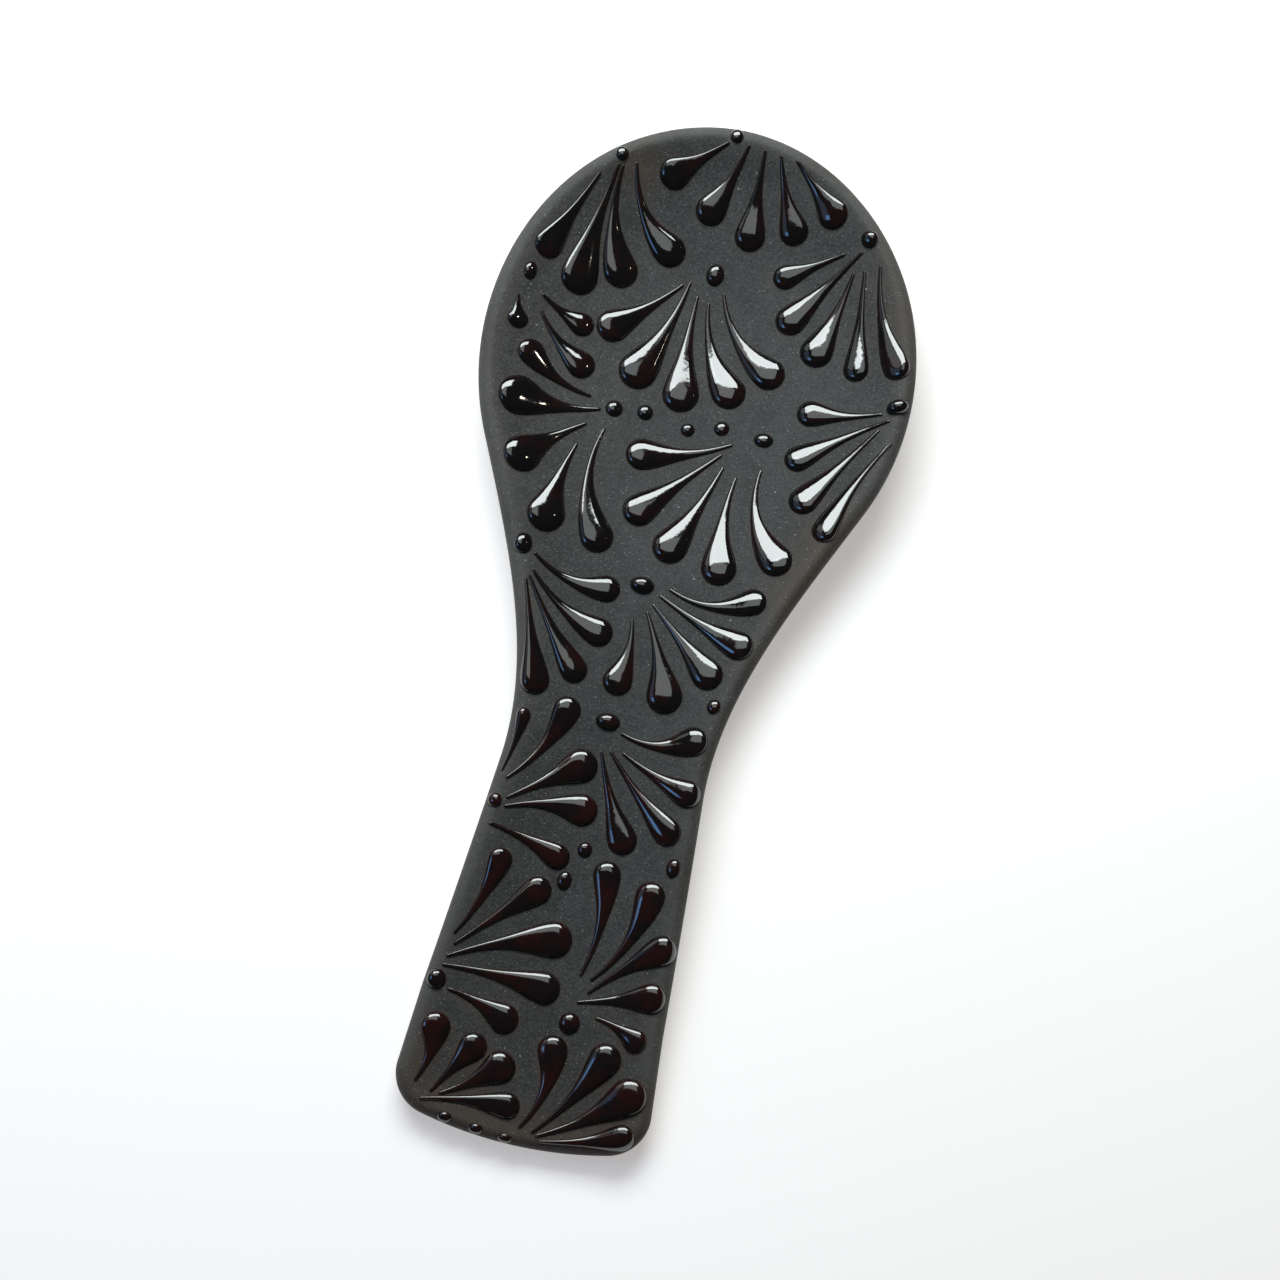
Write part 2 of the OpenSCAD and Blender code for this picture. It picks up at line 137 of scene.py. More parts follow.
class Graph:
    """The nodes of one material or world. Every node comes from the method node()."""

    def __init__(self, tree: bpy.types.NodeTree) -> None:
        """Starts from an empty tree."""
        tree.nodes.clear()
        self.tree = tree

    def node(
        self, kind: str, settings: dict[str, Any] | None = None, inputs: dict[Any, Any] | None = None
    ) -> bpy.types.Node:
        """Adds a node.

        Args:
            kind: Blender's node type.
            settings: the node's own properties, set first.
            inputs: value or Signal for each socket, by name or number.

        Returns:
            The node.
        """
        made = self.tree.nodes.new(kind)
        for name, value in (settings or {}).items():
            setattr(made, name, value)
        for key, value in (inputs or {}).items():
            if isinstance(value, Signal):
                self.tree.links.new(value.socket, made.inputs[key])
            else:
                made.inputs[key].default_value = value
        return made

    def output(
        self,
        kind: str,
        name: str,
        settings: dict[str, Any] | None = None,
        inputs: dict[Any, Any] | None = None,
    ) -> Signal:
        """Adds a node and gives the named output of it."""
        return Signal(self, self.node(kind, settings, inputs).outputs[name])

    def place(self) -> Signal:
        """Object coordinates, in metres."""
        return self.output("ShaderNodeTexCoord", "Object")

    def along(self) -> Signal:
        """Place along the piece in metres, from the handle's end (negative) to the bowl."""
        return self.output("ShaderNodeSeparateXYZ", "Y", {}, {"Vector": self.place()})

    def attribute(self, name: str) -> Signal:
        """A number stored on the mesh."""
        return self.output("ShaderNodeAttribute", "Fac", {"attribute_name": name})

    def noise(self, place: Signal, size: float, detail: float = 2.0, rough: float = 0.5) -> Signal:
        """Soft noise from 0 to 1 with features of about the given size.

        Args:
            place: coordinates in metres.
            size: feature size in millimetres.
            detail: octaves of finer noise.
            rough: strength of each finer octave.

        Returns:
            The noise value.
        """
        inputs = {"Vector": place, "Scale": 1.0 / (size * MM), "Detail": detail, "Roughness": rough}
        return self.output("ShaderNodeTexNoise", "Fac", {}, inputs)

    def cells(self, place: Signal, size: float) -> tuple[Signal, Signal]:
        """Scattered points.

        Args:
            place: coordinates in metres.
            size: mean spacing in millimetres.

        Returns:
            Distance to the nearest point as a share of the spacing, and a random number for that point.
        """
        made = self.node("ShaderNodeTexVoronoi", {}, {"Vector": place, "Scale": 1.0 / (size * MM)})
        parts = self.node("ShaderNodeSeparateColor", {}, {"Color": Signal(self, made.outputs["Color"])})
        return Signal(self, made.outputs["Distance"]), Signal(self, parts.outputs["Red"])

    def mix(self, factor: Operand, first: "Tone", second: "Tone") -> Signal:
        """A colour from first, where factor is 0, to second, where it is 1."""
        made = self.node("ShaderNodeMix", {"data_type": "RGBA"})
        sockets = {s.identifier: s for s in made.inputs}
        for key, value in (("Factor_Float", factor), ("A_Color", first), ("B_Color", second)):
            if isinstance(value, Signal):
                self.tree.links.new(value.socket, sockets[key])
            else:
                sockets[key].default_value = value if key == "Factor_Float" else (*value, 1.0)
        return Signal(self, next(s for s in made.outputs if s.identifier == "Result_Color"))

    def bump(self, height: Signal, depth: float, strength: float, under: Signal | None = None) -> Signal:
        """A normal from a height that runs from 0 to 1 over depth millimetres, on top of another normal."""
        inputs: dict[str, Any] = {"Height": height, "Distance": depth * MM, "Strength": strength}
        if under is not None:
            inputs["Normal"] = under
        return self.output("ShaderNodeBump", "Normal", {}, inputs)

    def surface(self, **sockets: Any) -> None:
        """Ends a material with one Principled shader.

        Args:
            sockets: values or signals by socket name, with underscores for spaces.
        """
        inputs = {}
        for name, value in sockets.items():
            key = {"ior": "IOR"}.get(name, name.replace("_", " ").title())
            inputs[key] = (*value, 1.0) if isinstance(value, tuple) else value
        shader = self.output("ShaderNodeBsdfPrincipled", "BSDF", {}, inputs)
        self.node("ShaderNodeOutputMaterial", {}, {"Surface": shader})


def new_material(name: str) -> tuple[bpy.types.Material, Graph]:
    """An empty node material and its graph."""
    material = bpy.data.materials.new(name)
    material.use_nodes = True
    return material, Graph(material.node_tree)


# ---------------------------------------------------------------- finishes


@dataclass(frozen=True)
class MattCoat:
    """Dark unglazed coat over brown clay: grain, pale mica specks, brown where thin or rubbed, painted lip
    sheen.
    """

    coat: Colour = (0.049, 0.0497, 0.0482)
    deep: Colour = (0.0125, 0.0122, 0.0118)
    # Tone of the painted sheen along the lip
    pale: Colour = (0.098, 0.092, 0.083)
    brown: Colour = (0.062, 0.038, 0.023)
    bare: Colour = (0.150, 0.072, 0.040)
    speck: Colour = (0.33, 0.33, 0.32)
    speck_spacing: float = 0.62
    crumb_spacing: float = 3.6
    grain_size: float = 0.6
    patch_size: float = 5.0
    cloud_size: float = 22.0
    warm_from: float = 0.0
    warm_to: float = -0.11

    def material(self) -> bpy.types.Material:
        """Builds the coat. The mesh stores stain, rim and foot, each from 0 to 1."""
        material, graph = new_material("matt_coat")
        place = graph.place()
        cloud = graph.noise(place, self.cloud_size, 4.0, 0.55)
        patch = graph.noise(place, self.patch_size, 4.0, 0.6)
        grain = graph.noise(place, self.grain_size, 3.0, 0.7)
        near, lot = graph.cells(place, self.speck_spacing)
        specks = near.rising(0.34, 0.14) * lot**5.0
        near_big, lot_big = graph.cells(place, self.crumb_spacing)
        crumbs = near_big.rising(0.08, 0.04) * lot_big**3.0

        stain = graph.attribute("stain")
        rim = graph.attribute("rim")
        foot = graph.attribute("foot")
        broken = (patch - 0.5) * 1.6
        stained = (stain * (0.75 + broken)).held()
        rubbed = (rim * (cloud.rising(0.52, 0.72) * 0.8 + broken * 0.5)).held()

        mottled = (cloud * 0.9 + (grain - 0.5) * 4.0 + (patch - 0.5) * 1.2).held()
        # Painted sheen: the lip is lightened towards the pale tone, standing in for light caught by the
        # rolled lip.
        painted_lip_sheen = (rim**1.5 * (1.0 - cloud.rising(0.45, 0.70) * 0.6 + broken * 0.3) * 0.70).held()
        warm_end = graph.along().rising(self.warm_from, self.warm_to)
        tone = graph.mix(mottled, self.deep, self.coat)
        tone = graph.mix(painted_lip_sheen, tone, self.pale)
        tone = graph.mix(warm_end * 0.06, tone, self.brown)
        tone = graph.mix(stained * 0.85, tone, self.brown)
        tone = graph.mix(rubbed * 0.35, tone, self.brown)
        tone = graph.mix((foot * (0.9 + broken * 0.4)).held(), tone, self.bare)
        tone = graph.mix((specks * 0.55 + crumbs * 0.9).held(), tone, self.speck)

        relief = graph.bump(grain + specks * 0.4, 0.16, 0.7)
        relief = graph.bump(patch, 0.35, 0.35, relief)
        graph.surface(
            base_color=tone,
            roughness=(0.60 + 0.22 * grain + 0.10 * foot).held(),
            normal=relief,
            ior=1.5,
        )
        return material


@dataclass(frozen=True)
class GlossSlip:
    """Thick black slip under a clear gloss: mirror-like, with a maroon cast that shows where it is thin."""

    black: Colour = (0.0032, 0.0030, 0.0033)
    maroon: Colour = (0.019, 0.0034, 0.0028)
    edge: Colour = (0.026, 0.014, 0.010)
    rough: float = 0.045
    wave_size: float = 3.2
    cloud_size: float = 7.0
    mottle_size: float = 0.9
    cooler_from: float = 0.01
    cooler_to: float = -0.06
    dull_from: float = -0.05
    dull_to: float = -0.105

    def material(self) -> bpy.types.Material:
        """Builds the gloss. The mesh stores film, the slip's share of its full thickness there."""
        material, graph = new_material("gloss_slip")
        place = graph.place()
        film = graph.attribute("film")
        cloud = graph.noise(place, self.cloud_size, 3.0, 0.6)
        mottle = graph.noise(place, self.mottle_size, 4.0, 0.65)
        wave = graph.noise(place, self.wave_size, 2.0, 0.45)
        thin = film.rising(0.55, 0.05)
        cooler_end = graph.along().rising(self.cooler_from, self.cooler_to)
        dull_end = graph.along().rising(self.dull_from, self.dull_to)
        clouded = cloud.rising(0.42, 0.62) * (0.45 + 0.45 * cooler_end)
        cast = (clouded + cooler_end * 0.25 + (mottle - 0.5) * 0.8).held()
        tone = graph.mix(cast, self.black, self.maroon)
        tone = graph.mix((thin * (0.45 + (mottle - 0.5) * 1.5)).held(), tone, self.edge)
        relief = graph.bump(wave, 0.10, 0.5)
        relief = graph.bump(mottle, 0.012, 0.5, relief)
        graph.surface(
            base_color=tone,
            roughness=(self.rough + 0.05 * mottle + 0.10 * thin + 0.04 * dull_end).held(),
            normal=relief,
            ior=1.75,
        )
        return material


@dataclass(frozen=True)
class PaleFloor:
    """Plain white studio floor that glows a little."""

    white: Colour = (0.84, 0.81, 0.80)
    grey: Colour = (0.7, 0.7, 0.7)
    grain_size: float = 40.0
    fleck: float = 0.05
    glow: float = 0.50

    def material(self) -> bpy.types.Material:
        """Builds the floor's finish, with a faint paper grain."""
        material, graph = new_material("pale_floor")
        grain = graph.noise(graph.place(), self.grain_size, 2.0)
        tone = graph.mix(grain * self.fleck, self.white, self.grey)
        graph.surface(
            base_color=tone,
            roughness=0.9,
            emission_color=self.white,
            emission_strength=self.glow,
        )
        return material


# ---------------------------------------------------------------- meshes


def smooth(t: Array) -> Array:
    """Smooth step: t squared times three minus two t, with t held between 0 and 1."""
    u = np.clip(t, 0.0, 1.0)
    return u * u * (3.0 - 2.0 * u)


def tube_faces(rings: int, size: int) -> Array:
    """Quads between neighbouring rings of equal size, for vertices stored ring after ring.

    Args:
        rings: number of rings.
        size: vertices in each ring.

    Returns:
        An array of vertex numbers with four columns.
    """
    k, i = np.meshgrid(np.arange(rings - 1), np.arange(size), indexing="ij")
    j = (i + 1) % size
    corners = [k * size + i, k * size + j, (k + 1) * size + j, (k + 1) * size + i]
    return np.stack([c.ravel() for c in corners], axis=1)


def cap_faces(start: int, size: int, pole: int, flip: bool) -> Array:
    """Triangles from a ring to its pole.

    Args:
        start: first vertex of the ring.
        size: vertices in the ring.
        pole: the pole's vertex.
        flip: whether they turn the other way.

    Returns:
        An array of vertex numbers with three columns.
    """
    i = np.arange(size)
    a, b = start + i, start + (i + 1) % size
    if flip:
        a, b = b, a
    return np.stack([a, b, np.full(size, pole)], axis=1)


@dataclass
class Shell:
    """A closed surface: points in millimetres, faces, and the numbers that its finish reads."""

    points: Array
    quads: Array
    triangles: Array
    values: dict[str, Array]

    def volume(self) -> float:
        """Signed volume: the sum over triangles of the box product of their corners, over six."""
        halves = [self.quads[:, [0, 1, 2]], self.quads[:, [0, 2, 3]], self.triangles]
        a, b, c = (self.points[np.concatenate(halves)[:, n]] for n in range(3))
        return float(np.einsum("ij,ij->i", a, np.cross(b, c)).sum() / 6.0)

    def outward(self) -> "Shell":
        """The same shell with its faces turned outwards."""
        if self.volume() >= 0.0:
            return self
        return Shell(self.points, self.quads[:, ::-1], self.triangles[:, ::-1], self.values)


def join(shells: list[Shell]) -> Shell:
    """One shell that holds several."""
    starts = np.cumsum([0] + [len(s.points) for s in shells[:-1]])
    return Shell(
        np.concatenate([s.points for s in shells]),
        np.concatenate([s.quads + n for s, n in zip(shells, starts)]),
        np.concatenate([s.triangles + n for s, n in zip(shells, starts)]),
        {name: np.concatenate([s.values[name] for s in shells]) for name in shells[0].values},
    )


def make_piece(
    name: str, shell: Shell, finish: bpy.types.Material, node: str
) -> bpy.types.Object:
    """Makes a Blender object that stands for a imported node.

    Args:
        name: the object's name.
        shell: its surface.
        finish: its material.
        node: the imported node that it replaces.

    Returns:
        The object, riding on the one body.
    """
    mesh = bpy.data.meshes.new(name)
    mesh.from_pydata((shell.points * MM).tolist(), [], shell.quads.tolist() + shell.triangles.tolist())
    mesh.polygons.foreach_set("use_smooth", np.ones(len(mesh.polygons), bool))
    for key, values in shell.values.items():
        mesh.attributes.new(key, "FLOAT", "POINT").data.foreach_set("value", values.astype(np.float32))
    mesh.materials.append(finish)
    mesh.update()
    piece = bpy.data.objects.new(name, mesh)
    bpy.context.scene.collection.objects.link(piece)
    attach(piece, BODY)
    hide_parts(node)
    log.info("%s: %d vertices, %d faces", name, len(mesh.vertices), len(mesh.polygons))
    return piece


# ---------------------------------------------------------------- the clay form


@dataclass(frozen=True)
class SpoonForm:
    """Driving sizes of the clay body in millimetres, and the surfaces that follow from them."""

    length: float = 250.0
    bowl_width: float = 105.0
    bowl_reach: float = 60.5
    neck_width: float = 48.5
    end_width: float = 60.0
    corner_radius: float = 10.0
    end_radius: float = 100.0
    bow: float = 1.0
    floor_height: float = 6.0
    rim_height: float = 18.0
    neck_height: float = 10.0
    end_height: float = 5.6
    neck_rise: float = 2.6
    end_rise: float = 2.0
    lip_radius: float = 2.6
    thickness: float = 7.0
    dish_power: float = 2.4
    bowl_share: float = 0.47
    neck_share: float = 0.156
    shoulder_share: float = 0.04
    crest_share: float = 0.1
    floor_shift: float = 3.0
    wobble: float = 0.14

    @property
    def half_length(self) -> float:
        """Half the length over all."""
        return self.length / 2

    @property
    def bowl_y(self) -> float:
        """The bowl's widest line."""
        return self.half_length - self.bowl_reach

    @property
    def neck_top(self) -> float:
        """Where the bowl's ellipse ends."""
        return self.bowl_y - self.bowl_share * self.bowl_reach

    @property
    def neck_y(self) -> float:
        """Where the neck is narrowest."""
        return -self.neck_share * self.length

    @property
    def flare(self) -> float:
        """How much each side of the handle widens for each millimetre towards the end."""
        handle = self.half_length + self.neck_y - self.corner_radius
        return (self.end_width - self.neck_width) / 2 / handle

    @property
    def corner(self) -> tuple[float, float]:
        """Centre of the right end corner, before the bow."""
        y = np.array(-self.half_length + self.corner_radius + 2)
        x = float(self.handle_half(y)) - self.corner_radius
        return x, self.end_middle - math.sqrt((self.end_radius - self.corner_radius) ** 2 - x * x)

    @property
    def end_middle(self) -> float:
        """Place along the piece of the centre of the end edge's arc."""
        return -self.half_length + self.end_radius

    def bowl_half(self, y: Array) -> Array:
        """Half width of the ellipse: half axis times the root of one less the squared share of reach."""
        share = (y - self.bowl_y) / self.bowl_reach
        return self.bowl_width / 2 * np.sqrt(np.maximum(1e-6, 1 - share**2))

    def neck_half(self, y: Array) -> Array:
        """Half width of the neck: a cubic with the widths and slopes of the bowl and the handle."""
        span = self.neck_top - self.neck_y
        steep = self.bowl_share / math.sqrt(1 - self.bowl_share**2)
        slope = self.bowl_width / 2 / self.bowl_reach * steep
        u = (self.neck_top - y) / span
        v = 1 - u
        bowl = float(self.bowl_half(np.array(self.neck_top)))
        start = (1 + 2 * u) * v * v * bowl - u * v * v * slope * span
        return start + u * u * (3 - 2 * u) * self.neck_width / 2 - u * u * v * self.flare * span

    def handle_half(self, y: Array) -> Array:
        """Half width of the handle, which widens evenly."""
        return self.neck_width / 2 + self.flare * (self.neck_y - y)

    def half_width(self, y: Array) -> Array:
        """Half width at any place along the piece."""
        handle = np.where(y > self.neck_y, self.neck_half(y), self.handle_half(y))
        return np.where(y > self.neck_top, self.bowl_half(y), handle)

    def middle(self, y: Array) -> Array:
        """Height of the middle line: a power curve to the far lip, and smooth steps to the end."""
        floor_y = self.bowl_y + self.floor_shift
        shoulder = -self.shoulder_share * self.length
        far = np.clip((y - floor_y) / (self.half_length - floor_y), 0, 1) ** self.dish_power
        bowl = self.floor_height + (self.rim_height - self.floor_height) * far
        rise = smooth((floor_y - y) / (floor_y - shoulder))
        neck = self.floor_height + (self.neck_height - self.floor_height) * rise
        drop = smooth((shoulder - y) / (shoulder + self.half_length))
        handle = self.neck_height + (self.end_height - self.neck_height) * drop
        return np.where(y > floor_y, bowl, np.where(y > shoulder, neck, handle))

    def edge(self, y: Array) -> Array:
        """Height of the edges: level round the bowl, down to the neck, and down again to the end."""
        crest = -self.crest_share * self.length
        neck_edge = self.neck_height + self.neck_rise
        end_edge = self.end_height + self.end_rise
        fall = smooth((self.bowl_y - y) / (self.bowl_y - crest))
        bowl = self.rim_height + (neck_edge - self.rim_height) * fall
        handle = neck_edge + (end_edge - neck_edge) * smooth((crest - y) / (crest + self.half_length))
        return np.where(y > crest, bowl, handle)

    def top(self, x: Array, y: Array) -> Array:
        """Top surface: the middle line plus a rise that is a power of the share of the half width."""
        share = np.minimum(1, np.abs(x) / self.half_width(y))
        return self.middle(y) + (self.edge(y) - self.middle(y)) * share**self.dish_power

    def bowed(self, y: Array) -> Array:
        """Sideways bow of the centre line: a parabola, nil at the widest line and level past its end."""
        middle, half, end = 10.0, 80.0, 104.0
        away = np.minimum(end, np.abs(y - middle))
        return self.bow * (((self.bowl_y - middle) / half) ** 2 - (away / half) ** 2)

    def edge_gap(self, x: Array, y: Array) -> Array:
        """Distance inwards from the outline, on the straight centre line."""
        across = np.abs(x)
        rx, ry = self.bowl_width / 2, self.bowl_reach
        level = np.maximum(np.hypot(across / rx, (y - self.bowl_y) / ry), 1e-4)
        steep = np.maximum(np.hypot(across / rx**2, (y - self.bowl_y) / ry**2), 1e-6)
        bowl = (1 - level) * level / steep
        lean = (self.half_width(y + 1) - self.half_width(y - 1)) / 2
        side = (self.half_width(y) - across) / np.hypot(1, lean)
        end = self.end_radius - np.hypot(x, y - self.end_middle)
        corner_x, corner_y = self.corner
        corner = self.corner_radius - np.hypot(across - corner_x, y - corner_y)
        handle = np.where((across > corner_x) & (y < corner_y), corner, np.minimum(side, end))
        return np.where(y > self.neck_top, bowl, handle)

    def unevenness(self, x: Array, y: Array) -> Array:
        """Hand-pressed waves: crossing sines and a finer sine, which die away towards the outline."""
        crossing = np.sin(x / 7.3 + y / 23.0) * np.sin(y / 11.0 - x / 31.0)
        waves = crossing + 0.6 * np.sin(y / 4.9 + x / 5.7 + 1.3)
        return self.wobble * waves * smooth((self.edge_gap(x, y) - self.lip_radius) / 6.0)

    def skin(self, points: Array) -> Array:
        """Height of the clay under bowed points, with the lip rolled over.

        Inside the lip it is the top surface. From where the dish meets the lip it follows the tangent line
        of the dish down to the lip's centre height, plus the lip's own circle. The waves are added to both.

        Args:
            points: an array whose last axis is x, y.

        Returns:
            Heights, one for each point.
        """
        x, y = points[..., 0] - self.bowed(points[..., 1]), points[..., 1]
        gap = np.maximum(0, self.edge_gap(x, y))
        gx = self.top(x + 0.5, y) - self.top(x - 0.5, y)
        gy = self.top(x, y + 0.5) - self.top(x, y - 0.5)
        tangent = np.hypot(gx, gy)
        angle = np.arctan(tangent)
        r = self.lip_radius
        start = r * (1 + np.sin(angle))
        circle = np.sqrt(np.maximum(0, r * r - (gap - r) ** 2))
        rolled = self.top(x, y) - tangent * (start - gap) - r * np.cos(angle) + circle
        return np.where(gap > start, self.top(x, y), rolled) + self.unevenness(x, y)

    def outline(self, spacing: float) -> Array:
        """Points round the straight outline, from the far lip down the right side and back up the left.

        Args:
            spacing: distance between points, in millimetres.

        Returns:
            An array of x, y rows. Point i and point n - i are mirror images.
        """
        corner_x, corner_y = self.corner
        tilt = math.asin(corner_x / (self.end_radius - self.corner_radius))

        def steps(length: float) -> Array:
            """Even shares from 0 to 1, without the 0."""
            return np.linspace(0, 1, max(3, round(length / spacing)) + 1)[1:]

        sweep = math.pi / 2 + math.asin(self.bowl_share)
        bowl_steps = steps(sweep * (self.bowl_width / 2 + self.bowl_reach) / 2)
        a = math.pi / 2 - sweep * np.concatenate([[0.0], bowl_steps])
        bowl = np.stack([self.bowl_width / 2 * np.cos(a), self.bowl_y + self.bowl_reach * np.sin(a)], 1)
        y = self.neck_top + (self.neck_y - self.neck_top) * steps(self.neck_top - self.neck_y)
        neck = np.stack([self.neck_half(y), y], 1)
        y = self.neck_y + (corner_y - self.neck_y) * steps(self.neck_y - corner_y)
        side = np.stack([self.handle_half(y), y], 1)
        a = -(math.pi / 2 - tilt) * steps(self.corner_radius * math.pi / 2)
        r = self.corner_radius
        corner = np.stack([corner_x + r * np.cos(a), corner_y + r * np.sin(a)], 1)
        a = tilt * (1 - steps(self.end_radius * tilt))
        end = np.stack([self.end_radius * np.sin(a), self.end_middle - self.end_radius * np.cos(a)], 1)
        right = np.concatenate([bowl, neck, side, corner, end])
        return np.concatenate([right, right[-2:0:-1] * [-1, 1]])


# ---------------------------------------------------------------- the clay body


@dataclass(frozen=True)
class Blemish:
    """A brown place on the clay: centre and reach in millimetres, and strength."""

    x: float
    y: float
    reach: float
    strength: float


@dataclass
class ClayBody:
    """The whole piece of clay, as rings from the middle line over the lip and back under."""

    form: SpoonForm
    finish: bpy.types.Material
    spacing: float = 1.05
    top_rings: int = 58
    lip_steps: int = 18
    under_rings: int = 24
    spine_shrink: float = 0.72
    spine_shift: float = 4.0
    foot_blend: float = 0.35
    end_stain: float = 0.75
    end_from: float = -112.0
    end_reach: float = 10.0
    halo_reach: float = 0.6
    halo_shift: float = 0.45
    halo_least: float = 0.25
    halo_from: float = -70.0
    halo_length: float = 40.0
    rim_reach: float = 9.0
    under_rim: float = 0.6
    foot_from: float = 0.1
    foot_height: float = 2.5
    blemishes: tuple[Blemish, ...] = (
        Blemish(49.0, 86.0, 9.0, 0.7),
        Blemish(42.0, 100.0, 7.0, 0.5),
        Blemish(43.0, 25.0, 9.0, 1.3),
        Blemish(36.0, 12.0, 7.0, 1.0),
        Blemish(30.0, -5.0, 5.0, 0.5),
        Blemish(-24.0, 110.0, 4.5, 1.1),
        Blemish(-17.0, 112.5, 3.0, 0.5),
        Blemish(-21.5, 105.0, 2.0, 0.4),
        Blemish(12.5, 91.0, 2.0, 0.35),
        Blemish(30.0, -117.0, 8.0, 0.8),
        Blemish(-12.0, -122.5, 7.0, 0.6),
        Blemish(-27.0, -112.0, 6.0, 0.5),
    )

    def _toward_spine(self, points: Array, share: float) -> Array:
        """Moves points a share of the way to the spine, a shrunken and shifted copy of the centre line."""
        x = points[:, 0] * (1 - share)
        y = points[:, 1] * (1 - share) + (self.spine_shrink * points[:, 1] + self.spine_shift) * share
        return np.stack([x, y], 1)

    def _ring(self, points: Array, height: Array) -> Array:
        """Bowed three-dimensional points from straight ones and their heights."""
        return np.stack([points[:, 0] + self.form.bowed(points[:, 1]), points[:, 1], height], 1)

    def _soft_floor(self, height: Array) -> Array:
        """Height held above 0, with a parabola that joins the foot to the underside."""
        b = self.foot_blend
        return np.where(height < -b, 0.0, np.where(height > b, height, (height + b) ** 2 / (4 * b)))

    def _rings(self) -> Array:
        """All rings, from the top of the spine over the lip to the bottom of the spine."""
        form = self.form
        outline = form.outline(self.spacing)
        along = np.roll(outline, -1, 0) - np.roll(outline, 1, 0)
        out = np.stack([-along[:, 1], along[:, 0]], 1) / np.linalg.norm(along, axis=1)[:, None]
        r = form.lip_radius
        centre = outline - r * out
        inner = centre - out
        rise = form.top(centre[:, 0], centre[:, 1]) - form.top(inner[:, 0], inner[:, 1])
        climb = np.arctan2(rise, 1.0)
        lean = (r * np.sin(climb))[:, None] * out
        start = centre - lean
        lip_z = form.top(start[:, 0], start[:, 1]) - r * np.cos(climb)

        rings = []
        for share in np.linspace(1, 0, self.top_rings + 1)[:-1]:
            p = self._toward_spine(start, share)
            rings.append(self._ring(p, form.top(p[:, 0], p[:, 1]) + form.unevenness(p[:, 0], p[:, 1])))
        for t in np.linspace(0, 1, self.lip_steps + 1):
            a = math.pi / 2 + climb - math.pi * t
            rings.append(self._ring(centre + (r * np.cos(a))[:, None] * out, lip_z + r * np.sin(a)))
        for share in np.linspace(0, 1, self.under_rings + 1)[1:]:
            p = self._toward_spine(centre + lean, share)
            k = 1 - (1 - share) ** 2
            thick = 2 * r / np.cos(climb) * (1 - k) + form.thickness * k
            rings.append(self._ring(p, self._soft_floor(form.top(p[:, 0], p[:, 1]) - thick)))
        return np.stack(rings)

    def _stain(self, points: Array, drops: list["Drop"]) -> Array:
        """Brown staining: bell curves round the blemishes, the handle's end, and halos below the drops."""
        x, y = points[:, 0], points[:, 1]
        stain = np.zeros(len(points))
        for b in self.blemishes:
            stain += b.strength * np.exp(-((x - b.x) ** 2 + (y - b.y) ** 2) / b.reach**2)
        stain += self.end_stain * smooth((self.end_from - y) / self.end_reach)
        for drop in drops:
            line, half = drop.line()
            gap = np.hypot(x[:, None] - line[:, 0], y[:, None] + self.halo_shift - line[:, 1]) - half
            near_end = float(smooth(np.array((self.halo_from - drop.head[1]) / self.halo_length)))
            warmth = self.halo_least + (1 - self.halo_least) * near_end
            stain += warmth * np.exp(-np.maximum(0, gap.min(1)) / self.halo_reach)
        return np.clip(stain, 0, 1)

    def shell(self, drops: list["Drop"]) -> Shell:
        """The whole skin.

        Args:
            drops: the drops whose halos stain the clay.

        Returns:
            A closed shell with the values stain, rim and foot.
        """
        rings = self._rings()
        count, size = rings.shape[:2]
        points = rings.reshape(-1, 3)
        quads = tube_faces(count, size)
        # On the spine, mirrored points fall together: the left one gives way to the right one.
        number = np.arange(len(points))
        for ring in (0, count - 1):
            i = np.arange(size)
            number[ring * size + i] = ring * size + np.minimum(i, (size - i) % size)
        quads = number[quads]
        used, quads = np.unique(quads, return_inverse=True)
        quads = quads.reshape(-1, 4)
        points = points[used]
        level = used // size
        x, y = points[:, 0] - self.form.bowed(points[:, 1]), points[:, 1]
        gap = self.form.edge_gap(x, y)
        under = level > self.top_rings + self.lip_steps
        rim = np.where(under, self.under_rim, 1.0) * (1 - smooth(gap / self.rim_reach))
        foot = np.where(under, 1 - smooth((points[:, 2] - self.foot_from) / self.foot_height), 0.0)
        stain = np.where(under, 0.0, self._stain(points, drops))
        empty = np.zeros((0, 3), int)
        return Shell(points, quads, empty, {"stain": stain, "rim": rim, "foot": foot}).outward()

    def build(self, drops: list["Drop"]) -> bpy.types.Object:
        """Makes the piece that stands for the imported clay body."""
        return make_piece("clay_dish", self.shell(drops), self.finish, CLAY_NODE)


# ---------------------------------------------------------------- drops and dots


@dataclass(frozen=True)
class SlipStyle:
    """How the slip stands on the clay, in millimetres, its section's powers, and its mesh's fineness."""

    tail_height: float = 0.35
    swell: float = 0.33
    key: float = 0.4
    crown_power: float = 2.6
    flank_power: float = 0.5
    even_share: float = 0.35
    swell_power: float = 2.2
    along: int = 34
    around_head: int = 12
    across: int = 20


